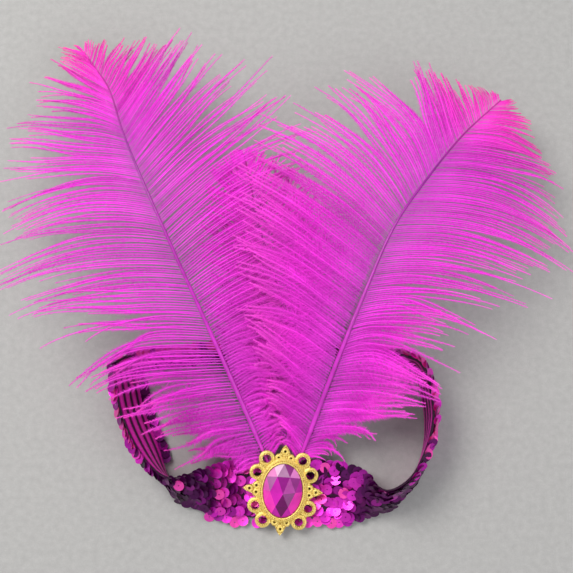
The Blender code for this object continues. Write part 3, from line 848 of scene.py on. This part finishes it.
RIGHT_PLUME_RIGHT_VANE = (
    # root, middle along, middle aside, tip along, tip aside
    (0, 3, 2, 3, 7),
    (7, 12, 5, 14, 13),
    (14, 20, 7, 24, 18),
    (22, 28, 6, 30, 18),
    (26, 32, 4, 34, 17),
    (36, 43, 5, 47, 19),
    (50, 59, 9, 63, 27),
    (60, 70, 12, 72, 31),
    (70, 79, 12, 79, 29),
    (78, 85, 8, 87, 22),
    (87, 92, 6, 94, 15),
    (95, 98, 3, 100, 6),
    (100, 101, 1, 103, 1),
)
CENTRE_PLUME_LEFT_VANE = (
    # root, middle along, middle aside, tip along, tip aside
    (0, 6, -4, 8, -7),
    (10, 19, -7, 22, -12),
    (30, 40, -7, 46, -16),
    (50, 60, -6, 67, -17),
    (70, 80, -8, 86, -15),
    (85, 93, -6, 98, -10),
    (100, 102, -1, 103, -2),
)
CENTRE_PLUME_RIGHT_VANE = (
    # root, middle along, middle aside, tip along, tip aside
    (0, 6, 5, 8, 8),
    (10, 19, 9, 22, 13),
    (30, 38, 15, 45, 22),
    (50, 58, 16, 66, 24),
    (70, 79, 13, 86, 20),
    (85, 92, 7, 98, 12),
    (100, 102, 1, 103, 2),
)
PLUMES = {
    "plume_left": {
        "bare": 0.0,
        "foot": (-8.3, SETTING_TOP),
        "heading": -24.7,
        "length": 261,
        "level": 1,
        "shaft": ((-40, 0), (250, 4), (500, 4), (780, 10), (900, 20), (1000, 0)),
        "left": LEFT_PLUME_LEFT_VANE,
        "right": LEFT_PLUME_RIGHT_VANE,
    },
    "plume_right": {
        "bare": 0.0,
        "foot": (10.3, SETTING_TOP),
        "heading": 29.2,
        "length": 237,
        "level": 2,
        "shaft": ((-40, 0), (170, -31), (390, -59), (600, -75))
        + ((720, -62), (870, -37), (1000, 0)),
        "left": RIGHT_PLUME_LEFT_VANE,
        "right": RIGHT_PLUME_RIGHT_VANE,
    },
    "plume_centre": {
        "bare": 0.05,
        "foot": (0.5, SETTING_TOP),
        "heading": -7.4,
        "length": 172,
        "level": 0,
        "shaft": ((-50, 0), (150, 40), (300, 65), (500, 60), (750, 20), (1000, 0)),
        "left": CENTRE_PLUME_LEFT_VANE,
        "right": CENTRE_PLUME_RIGHT_VANE,
    },
}
print("plumes:", ", ".join(PLUMES))

# %% [markdown]
# A plume's surface rises from under the medallion, climbs over the back of the band and sags at
# its sides and tips. Each barb is one smooth curve from its root on the shaft through a middle to
# its tip. The tables hold a dozen such barbs a vane, and all the others lie between them.

# %% Plume surface and barb curves


def plume_height(across, back, level):
    """Height over the floor: straight along the front's tilt, then the rise table, less the sag
    of the sides, plus the plume's level."""
    climbing = smoothstep(back, *CLIMB)
    height = (QUILL_HEIGHT + back * math.tan(FRONT_TILT)) * (1 - climbing)
    height = height + curve_through(RISE[:, 0], RISE[:, 1], back) * climbing
    over_side = smoothstep(np.abs(across), 0.26 * LOOP_WIDTH, 0.38 * LOOP_WIDTH)
    beside = over_side * (1 - smoothstep(back, 76, 95))
    height = height + beside * np.maximum(BAND_WIDTH + 3 - height, 0)
    far = smoothstep(np.abs(across), 60, 170) * smoothstep(back, 85, 145)
    return height - SIDE_SAG * far + level * LEVEL_STEP * smoothstep(back, *PART)


def plume_plan(plume, shares):
    """Plan places of (along, aside) shares of the plume's length."""
    heading = math.radians(plume["heading"])
    along = np.array([math.sin(heading), math.cos(heading)])
    aside = np.array([math.cos(heading), -math.sin(heading)])
    reach = (shares[:, :1] * along + shares[:, 1:2] * aside) * plume["length"]
    return np.array(plume["foot"]) + reach


def shaft_plan(plume, at):
    """Plan places on the shaft, through its table of (along, aside)."""
    rows = np.array(plume["shaft"]) / 1000
    return plume_plan(plume, curve_through(rows[:, 0], rows, np.ravel(at)))


def barb_plan(plume, side, roots, share):
    """(1-s)^2 root + 2 s (1-s) pole + s^2 tip, where the pole makes s = 1/2 meet the middle."""
    rows = np.array(plume["right" if side > 0 else "left"]) / 100
    places = curve_through(rows[:, 0], rows[:, 1:], roots)
    start = shaft_plan(plume, roots)
    tip = plume_plan(plume, places[:, 2:])
    pole = 2 * plume_plan(plume, places[:, :2]) - (start + tip) / 2
    s = share[:, None]
    return (1 - s) ** 2 * start + 2 * s * (1 - s) * pole + s**2 * tip


def locks_of(count, smallest, largest):
    """Lock number of each of count barbs, in locks of smallest to largest barbs."""
    sizes = rng.integers(smallest, largest + 1, count)
    return np.repeat(np.arange(count), sizes)[:count]


def lock_mean(lock, values):
    """For each barb, the mean of the values in its lock."""
    return (np.bincount(lock, values) / np.bincount(lock))[lock]


def barb_spines(plume, side, count, stations, wander, closing):
    """Points (barb, station, xyz) of all barbs on one side, with their roots and locks.

    Near the shaft the barbs are even. Farther out a barb's root number slides towards the middle
    of its lock, so neighbours close up at their tips; each lock swings, lifts and droops by its
    own amount, and one barb in thirteen strays across the others. Low barbs end raggedly.
    """
    start = plume["bare"]
    roots = start + (0.996 - start) * np.linspace(0, 1, count) ** 0.92
    roots = roots + rng.normal(0, 0.0006, count)
    lock = locks_of(count, 3, 9)
    number = lock.max() + 1
    aside = lock_mean(lock, roots) - roots
    share = np.linspace(0, 1, stations)[None, :]
    outer = smoothstep(share, 0.38, 1.1)
    wander = wander * (1 + 0.5 * (1 - smoothstep(roots, 0.28, 0.48)))
    close = rng.uniform(*closing, number)[lock] * (1 - 0.6 * smoothstep(roots, 0.68, 0.88))
    swing = (rng.normal(0, 1.0, number)[lock] * wander)[:, None] * outer
    stray = np.where(rng.uniform(size=count) < 1 / 13, 3.2, 1.0)
    own = (rng.normal(0, 0.5, count) * wander * stray)[:, None] * share**2
    phase = rng.uniform(0, 6, number)[lock] + rng.normal(0, 0.6, count)
    turns = share * rng.uniform(4, 9, number)[lock][:, None]
    wave = 0.3 * wander[:, None] * np.sin(turns + phase[:, None])
    end = 1 - 0.8 * smoothstep(roots, 0.85, 1.0)[:, None]
    root = roots[:, None] + (aside * close)[:, None] * outer + (swing + own + wave * share) * end
    off = np.abs(aside)
    off = off / np.maximum(lock_mean(lock, off), 1e-6)
    long = rng.uniform(0.94, 1.1, number)[lock] * (1.04 - 0.1 * off)
    long = long * rng.uniform(0.9, 1.03, count)
    ragged = 0.13 * np.sin(9 * phase) * (1 - smoothstep(roots, 0.4, 0.6))
    reach = share * (long + ragged)[:, None]
    plan = barb_plan(plume, side, root.ravel(), reach.ravel()).reshape(count, stations, 2)
    height = plume_height(plan[..., 0], plan[..., 1], plume["level"])
    rise = (np.abs(rng.normal(0, 0.9, number))[lock] + rng.uniform(0, 0.6, count))[:, None]
    droop = (rng.uniform(0, 5, number)[lock] * smoothstep(roots, 0.45, 0.6))[:, None] * share**3
    height = height + rise * smoothstep(share, 0.05, 0.5) - droop
    return np.concatenate([plan, height[..., None]], axis=2), roots, lock

# %% [markdown]
# The ribbon of a barb is about two thirds of a millimetre wide at its root and half that at its
# tip. Its barbules are single leaves, about 3 mm long, that point forward on both sides. They
# shorten near the shaft, where dark gaps show between the barbs, and again at the fraying tip.

# %% Ribbons and barbules
RIBBON_WIDTH = 0.68
LEAF_FOOT = 0.34


def ribbons(spines, widths):
    """Two points a station: spine + and - half a width along the level normal, a little rolled."""
    ahead = unit(np.gradient(spines, axis=1))
    level = unit(np.stack([-ahead[..., 1], ahead[..., 0], 0 * ahead[..., 0]], axis=-1))
    level[..., 2] += rng.normal(0, 0.25, len(spines))[:, None]
    half = widths[..., None] / 2 * level
    points = np.stack([spines - half, spines + half], axis=2)
    faces = grid_faces(spines.shape[1], 2)
    faces = repeat_faces(faces, 2 * spines.shape[1], len(spines))
    return points.reshape(-1, 3), faces, ahead, level


def barbules(spines, ahead, level, down, each, longest):
    """Leaves: foot - f ahead, foot + f ahead, foot + L (cos a ahead + sin a level).

    They shorten towards the tip and on short barbs, and are longer and wilder where there is down.
    """
    count, stations, _ = spines.shape
    total = count * each
    barb = np.repeat(np.arange(count), each)
    share = np.tile((np.arange(each) + 0.5) / each, count) + rng.uniform(-0.5, 0.5, total) / each
    share = 0.03 + 0.96 * np.clip(share, 0, 1)
    spot = share * (stations - 1)
    first = np.minimum(spot.astype(int), stations - 2)
    mix = (spot - first)[:, None]
    foot = spines[barb, first] * (1 - mix) + spines[barb, first + 1] * mix
    foot[:, 2] -= 0.15
    forward = ahead[barb, first]
    aside = level[barb, first] * np.where(np.arange(total) % 2, 1, -1)[:, None]
    soft = down[barb]
    angle = np.radians(rng.normal(29, 9, total) + soft * rng.normal(14, 12, total))[:, None]
    size = np.linalg.norm(np.diff(spines, axis=1), axis=2).sum(axis=1)
    short = np.clip(size / 45, 0.3, 1)[barb]
    taper = 0.6 + 0.4 * smoothstep(share, 0.05, 0.3)
    taper = taper * (1 - (0.6 + 0.2 * soft) * smoothstep(share, 0.55, 1))
    length = longest * short * taper * (1 + 0.6 * soft) * rng.uniform(0.35, 1.15, total)
    length = length[:, None]
    tip = foot + length * (np.cos(angle) * forward + np.sin(angle) * aside)
    tip[:, 2] += rng.normal(-0.08, 0.15, total) * length[:, 0]
    base = LEAF_FOOT / 2 * forward
    points = np.stack([foot - base, foot + base, tip], axis=1).reshape(-1, 3)
    faces = np.arange(3 * total).reshape(-1, 3)
    faces = np.where((np.arange(total) % 2)[:, None] == 1, faces, faces[:, ::-1])
    return points, faces, share, barb


def build_plume(
    name, count, each, longest, wander, closing, downy, blushing, light, stations=22
):
    """Both vanes of a plume as one mesh of ribbons and barbules.

    count is barbs a vane and each is barbules a barb. longest and downy hold one entry a vane, left
    and right: the longest barbule, and the two roots between which down gives way to strands.
    closing is how far locks close up, between two values, and light brightens the whole plume:
    painted light that lifts a plume lying in the others' shade, most of all the centre one.
    """
    plume = PLUMES[name]
    points, quads, leaves, reach, tone_and_painted_light, blush = [], [], [], [], [], []
    at = 0
    share = np.linspace(0, 1, stations)
    for side in (-1, 1):
        spines, roots, lock = barb_spines(plume, side, count, stations, wander, closing)
        spines = spines + FRONT
        down = 1 - smoothstep(roots, *downy[side > 0])
        widths = RIBBON_WIDTH * (1 - 0.68 * share**1.5) * (1 - 0.35 * down)[:, None]
        strip, faces, ahead, level = ribbons(spines, widths)
        leaf, corners, leaf_share, barb = barbules(
            spines, ahead, level, down, each, longest[side > 0]
        )
        points += [strip, leaf]
        quads.append(faces + at)
        leaves.append(corners + at + len(strip))
        at += len(strip) + len(leaf)
        # own: random tone of each barb and lock, times the plume's painted light.
        own = light * rng.normal(1.0, 0.07, count) * rng.normal(1.0, 0.05, lock.max() + 1)[lock]
        # Barbules are painted darker than their ribbons, and downy ones are lifted by painted light
        # against the shade they lie in.
        leaf_own = own[barb] * rng.uniform(0.66, 0.94, len(barb)) * (1 + 0.22 * down[barb])
        end = blushing * smoothstep(roots, 0.74, 1.0)
        low = 0.35 * (1 - smoothstep(roots, 0.2, 0.4)) * (name == "plume_left" and side < 0)
        edge = blushing * (0.3 * smoothstep(roots, 0.35, 0.8) + low)

        def blush_at(one, out):
            return end[one] * (0.4 + 0.4 * out) + edge[one] * smoothstep(out, 0.8, 1.0)

        one, out = np.repeat(np.arange(count), stations), np.tile(share, count)
        # Ribbons get 1.17 times their barb's tone: a painted highlight along each strand.
        for barbs, outs, tones, times in (
            (one, out, (own * (1.17 - 0.02 * down))[one], 2),
            (barb, leaf_share, leaf_own, 3),
        ):
            reach.append(np.repeat(outs, times))
            tone_and_painted_light.append(np.repeat(tones, times))
            blush.append(np.repeat(blush_at(barbs, outs), times))
    values = {
        "reach": np.concatenate(reach),
        "tone_and_painted_light": np.concatenate(tone_and_painted_light),
        "blush": np.clip(np.concatenate(blush), 0, 1),
    }
    points = np.concatenate(points)
    blocks = [np.concatenate(quads), np.concatenate(leaves)]
    return new_piece(name + "_barbs", points, blocks, FEATHER, [name], values)


build_plume(
    "plume_left",
    count=178,
    each=430,
    longest=(2.9, 3.4),
    wander=0.010,
    closing=(0.1, 0.75),
    downy=((0.05, 0.4), (0.15, 0.5)),
    blushing=1.0,
    light=1.0,
)
build_plume(
    "plume_right",
    count=178,
    each=450,
    longest=(3.4, 2.8),
    wander=0.009,
    closing=(0.05, 0.6),
    downy=((0.42, 0.66), (0.2, 0.42)),
    blushing=1.0,
    light=1.03,
)
build_plume(
    "plume_centre",
    count=125,
    each=340,
    longest=(3.4, 3.4),
    wander=0.018,
    closing=(0.1, 0.7),
    downy=((0.3, 0.6), (0.3, 0.6)),
    blushing=0.0,
    light=1.34,
    stations=16,
)

# %% [markdown]
# The shaft is a horny tube, oval and grooved underneath. A round profile is carried along the
# shaft's line and tapers from the quill, which runs under the medallion, to a thread at the tip.

# %% Shafts


def build_shaft(name):
    """Flattened circle carried along the line, radius falling from quill to thread."""
    plume = PLUMES[name]
    stations = 90
    sides = 10
    at = np.linspace(plume["shaft"][0][0] / 1000, 1.0, stations)
    plan = shaft_plan(plume, at)
    height = plume_height(plan[:, 0], plan[:, 1], plume["level"])
    line = np.column_stack([plan, height]) + FRONT
    ahead = unit(np.gradient(line, axis=0))
    side = unit(np.cross(ahead, np.array([[0.0, 0.0, 1.0]])))
    up = np.cross(side, ahead)
    swell = smoothstep(plan[:, 1], *PART)
    free = 3.0 - 2.3 * np.clip(at, 0, 1) ** 0.8
    radius = (QUILL_WIDTH + (free - QUILL_WIDTH) * swell) / 2
    turn = round_turn(sides)[None, :, None]
    ring = np.cos(turn) * side[:, None] + 0.8 * np.sin(turn) * up[:, None]
    points = (line[:, None] + radius[:, None, None] * ring).reshape(-1, 3)
    first = np.arange(sides)
    ends = np.array([first, first[::-1] + (stations - 1) * sides])
    blocks = [grid_faces(stations, sides, False, True), ends]
    values = {"reach": np.repeat(np.clip(at, 0, 1), sides)}
    return new_piece(name + "_shaft", points, blocks, SHAFT, [name], values)


for name in PLUMES:
    build_shaft(name)

# %% [markdown]
# ## Medallion
#
# The setting is one casting: a pierced plate, a rounded rim on every hole, a raised bezel with a
# row of fine beads, and four little points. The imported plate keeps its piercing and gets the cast
# finish. Rims, bezel and beads are profiles carried round circles and an oval and laid over it.

# %% Medallion frame

# Sizes in mm, heights over the band's face.
SETTING_WIDTH, SETTING_HEIGHT, PLATE = 44.8, 51.0, 2.0
CLEARANCE = 0.3
SETTING_BACK = SEQUIN_FACE + CLEARANCE + QUILL_WIDTH + CLEARANCE
GEM = np.array([22.0, 30.0])
GEM_SEAT = SETTING_BACK + PLATE + CLEARANCE
MEDALLION_RISE = 0.9
TURN = math.radians(-3.5)

HOLES = (
    # across share, up share, radius: one quarter, mirrored to the others
    (0.225, 0.337, 2.5),
    (0.332, 0.182, 2.5),
    (0.076, 0.353, 0.65),
    (0.000, 0.427, 0.65),
    (0.332, 0.037, 0.65),
    (0.417, 0.000, 0.65),
)


def on_medallion(points):
    """Flat (x, y, height over the band's face) to its place: middle + x right + y up + z out."""
    middle, width, face = [part[0] for part in band_frames(SOLID_STATIONS)]
    across = np.cross(width, face)
    right = math.cos(TURN) * across + math.sin(TURN) * width
    up = math.cos(TURN) * width - math.sin(TURN) * across
    start = middle + MEDALLION_RISE * width + FRONT
    return start + points[..., :1] * right + points[..., 1:2] * up + points[..., 2:] * face


def all_holes():
    """All holes from the quarter's rows, as middle x, y and radius."""
    return [
        (side * across * SETTING_WIDTH, end * up * SETTING_HEIGHT, radius)
        for across, up, radius in HOLES
        for side in ((1, -1) if across else (1,))
        for end in ((1, -1) if up else (1,))
    ]

# %% Rims, bezel and beads


def bead(radius, sides=8, rings=5):
    """A round bead: radius (sin v cos u, sin v sin u, cos v)."""
    v = np.linspace(0.02, math.pi - 0.02, rings)
    u = round_turn(sides)
    out = np.sin(v)[:, None]
    up = np.repeat(np.cos(v)[:, None], sides, axis=1)
    points = np.stack([out * np.cos(u), out * np.sin(u), up], axis=-1)
    return radius * points.reshape(-1, 3), grid_faces(rings, sides, False, True)


def join_parts(parts):
    """Points and faces of several parts as one."""
    starts = np.cumsum([0] + [len(points) for points, _ in parts[:-1]])
    points = np.concatenate([points for points, _ in parts])
    faces = np.concatenate([faces + start for (_, faces), start in zip(parts, starts)])
    return points, faces


# Profiles as (offset from the edge of the hole or stone, height over the back of the plate).
LARGE_RIM = np.array(
    ((-0.06, 0.1), (-0.06, 2.4), (0.06, 2.75), (0.3, 2.9), (0.58, 2.85), (0.8, 2.6))
    + ((0.95, 2.3), (1.2, 2.14), (1.7, 2.06), (1.97, 1.65), (1.95, 0.5), (1.7, 0.1))
)
SMALL_RIM = np.array(
    ((-0.6, 0.3), (-0.02, 0.5), (0.1, 1.9), (0.14, 2.3), (0.3, 2.55), (0.6, 2.62))
    + ((0.95, 2.5), (1.25, 2.2), (1.4, 1.8), (1.2, 0.3))
)
BEZEL = np.array(
    ((0.0, 2.1), (0.0, 3.9), (0.18, 4.22), (0.5, 4.3), (0.85, 4.15), (1.0, 3.7), (1.6, 3.45))
    + ((2.3, 2.8), (3.15, 2.12), (3.1, 1.7))
)
BEADS = 78
BEAD_RADIUS = 0.56
BEAD_TRACK = 1.45
BEAD_HEIGHT = 3.6


def bead_centres(oval):
    """Even steps of length along the bead track: (oval + track) (cos t, sin t)."""

    def on_track(t):
        return (oval + BEAD_TRACK) * np.column_stack([np.cos(t), np.sin(t)])

    t = np.arange(601) * 2 * math.pi / 600
    steps = np.linalg.norm(np.diff(on_track(t), axis=0), axis=1)
    walked = np.concatenate([[0], np.cumsum(steps)])
    turns = np.interp(np.arange(BEADS) * walked[-1] / BEADS, walked, t)
    return np.column_stack([on_track(turns), np.full(BEADS, BEAD_HEIGHT)])


def build_rims():
    """Rounded rims on the holes, painted-shade cups in the small ones, the bezel's lip and its
    beads.
    """
    parts = []
    painted_hole_shade = []
    for x, y, radius in all_holes():
        large = radius > 1
        profile = LARGE_RIM if large else SMALL_RIM
        parts.append(ring_round(profile, (x, y), (radius, radius), 28 if large else 18))
        inside = (profile[:, 0] < 0.12) & (profile[:, 1] < PLATE) & (not large)
        painted_hole_shade.append(np.tile(inside, len(parts[-1][0]) // len(profile)))
    oval = GEM / 2 + 0.25
    parts.append(ring_round(BEZEL, (0, 0), oval, 120))
    shape, faces = bead(BEAD_RADIUS)
    points = (bead_centres(oval)[:, None] + shape[None]).reshape(-1, 3)
    parts.append((points, repeat_faces(faces, len(shape), BEADS)))
    points, faces = join_parts(parts)
    points[:, 2] += SETTING_BACK
    marks = np.zeros(len(points))
    inner = np.concatenate(painted_hole_shade)
    marks[: len(inner)] = inner
    points = on_medallion(points)
    return new_piece("medallion_rims", points, [faces], RIM_GOLD, values={"painted_hole_shade": marks})


build_rims()
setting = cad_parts["medallion_setting"].data
setting.materials.clear()
setting.materials.append(CAST_GOLD)

# %% [markdown]
# ## Stone
#
# The stone is an oval rose cut: one high point, six large facets round it, and two rings of
# triangles down to the girdle. Each facet is painted one clear tone that stands in for what it
# reflects: a pale painted highlight at the top left, plum painted shade in the lower middle and a
# hot pink painted reflection at the lower sides. A real glass with a mirror behind it would need
# many bounces to show the same, and would turn grey in a plain export.

# %% Build the stone

# Painted tone and pallor of the facets, as reflected light and shade, one row a ring point, counted
# from the right against the clock.
FACETS = (
    # tone and pallor of the facet at the centre, at the edge, before and after the ring point
    (0.42, 0.00, 0.34, 0.04, 0.78, 0.02, 0.48, 0.04),
    (0.30, 0.00, 0.15, 0.34, 0.60, 0.36, 0.22, 0.04),
    (0.52, 0.00, 0.36, 0.22, 0.85, 0.90, 0.72, 0.42),
    (0.56, 0.00, 0.76, 0.02, 0.70, 0.18, 0.78, 0.05),
    (0.05, 0.00, 0.02, 0.00, 0.82, 0.02, 0.50, 0.00),
    (0.20, 0.00, 0.78, 0.02, 0.52, 0.00, 0.78, 0.02),
)


def build_stone():
    """Crown of an oval rose cut: top point, six ring points at 0.64 and 24 on the girdle."""
    dome = 6.2
    girdle = 1.2
    sides = 6

    def oval(share, height, count):
        t = round_turn(count)
        return np.column_stack(
            [share * GEM / 2 * np.column_stack([np.cos(t), np.sin(t)]), np.full(count, height)]
        )

    top = np.array([[0.2, -0.8, girdle + dome]])
    ring = oval(0.64, girdle + 0.62 * dome, sides)
    upper = oval(1.0, girdle, 4 * sides)
    lower = oval(1.0, 0.0, 4 * sides)
    points = np.concatenate([top, ring, upper, lower])
    k = np.arange(sides)
    after = 1 + (k + 1) % sides
    here = 1 + k
    rim = 1 + sides
    edge = 4 * sides

    def on_rim(quarter):
        return rim + (4 * k + quarter) % edge

    crown = [
        np.column_stack([np.zeros(sides, int), here, after]),
        np.column_stack([here, on_rim(2), after]),
        np.column_stack([here, on_rim(-1), on_rim(0)]),
        np.column_stack([here, on_rim(-2), on_rim(-1)]),
        np.column_stack([here, on_rim(0), on_rim(1)]),
        np.column_stack([here, on_rim(1), on_rim(2)]),
    ]
    table = np.array(FACETS)
    kinds = (0, 1, 2, 2, 3, 3)
    tone_and_painted_light = np.concatenate([table[:, 2 * kind] for kind in kinds])
    pale = np.concatenate([table[:, 2 * kind + 1] for kind in kinds])
    m = np.arange(edge)
    after_m = (m + 1) % edge
    wall = np.concatenate(
        [
            np.column_stack([rim + m, rim + edge + m, rim + edge + after_m]),
            np.column_stack([rim + m, rim + edge + after_m, rim + after_m]),
        ]
    )
    back = rim + edge
    base = np.column_stack([np.full(edge - 2, back), back + m[2:], back + m[1:-1]])
    faces = np.concatenate(crown + [wall, base])
    plain = len(faces) - len(tone_and_painted_light)
    corners = points[faces]
    across = np.cross(corners[:, 1] - corners[:, 0], corners[:, 2] - corners[:, 0])
    inwards = np.einsum("ij,ij->i", across, corners.mean(axis=1) - (0, 0, 0.6)) < 0
    corners[inwards] = corners[inwards][:, ::-1]
    flat = corners.reshape(-1, 3)
    flat[:, 2] += GEM_SEAT
    # tone and pale hold each facet's painted reflection and painted highlight.
    values = {
        "tone_and_painted_light": np.repeat(np.append(tone_and_painted_light, np.full(plain, 0.6)), 3),
        "pale": np.repeat(np.append(pale, np.zeros(plain)), 3),
    }
    points = on_medallion(flat)
    faces = np.arange(len(flat)).reshape(-1, 3)
    return new_piece("painted_reflection_stone", points, [faces], STONE, ["gem"], values, smooth=False)


build_stone()

# %% [markdown]
# ## Floor, light and camera
#
# A pale floor, one wide soft light from the upper left and a weak fill. The camera looks down at
# 80 degrees from the medallion's side, with the narrow view of a phone held well above.

# %% Stage


def build_floor(half=12.0):
    """One square of that half width in metres, in a faintly grained warm grey."""
    corners = [(-half, -half, 0), (half, -half, 0), (half, half, 0), (-half, half, 0)]
    finish = Finish("pale floor", 0.8)
    tint = finish.range(finish.grain(1600.0)[0], 0.36, 0.42)
    finish.base((1.0, 0.985, 0.955), tint)
    mesh = bpy.data.meshes.new("floor")
    mesh.from_pydata(corners, [], [(0, 1, 2, 3)])
    mesh.materials.append(finish.material)
    add_object("floor", mesh)


def add_light(name, place, size, power, colour):
    """A round area light that faces the origin."""
    lamp = bpy.data.lights.new(name, "AREA")
    lamp.shape = "DISK"
    lamp.size = size
    lamp.energy = power
    lamp.color = colour
    light = add_object(name, lamp)
    light.location = place
    light.rotation_euler = (-Vector(place)).to_track_quat("-Z", "Y").to_euler()


build_floor()
add_light("soft_key", (-0.75, 0.55, 1.35), 0.9, 21, (1.0, 0.985, 0.96))
add_light("soft_fill", (0.9, -0.7, 1.2), 1.2, 7, (0.96, 0.97, 1.0))
world = bpy.data.worlds.new("studio")
world.use_nodes = True
sky = world.node_tree.nodes["Background"].inputs
sky["Color"].default_value = (0.86, 0.87, 0.9, 1)
sky["Strength"].default_value = 0.62
scene = bpy.context.scene
scene.world = world
scene.view_settings.view_transform = "Standard"

camera_data = bpy.data.cameras.new("camera")
camera_data.lens = 69.55
camera_data.sensor_width = 36
camera_data.clip_start = 0.01
camera = add_object("camera", camera_data)
camera.location = (0.00656, -0.1133, 0.6411)
camera.rotation_euler = (math.radians(10), 0, 0)
scene.camera = camera
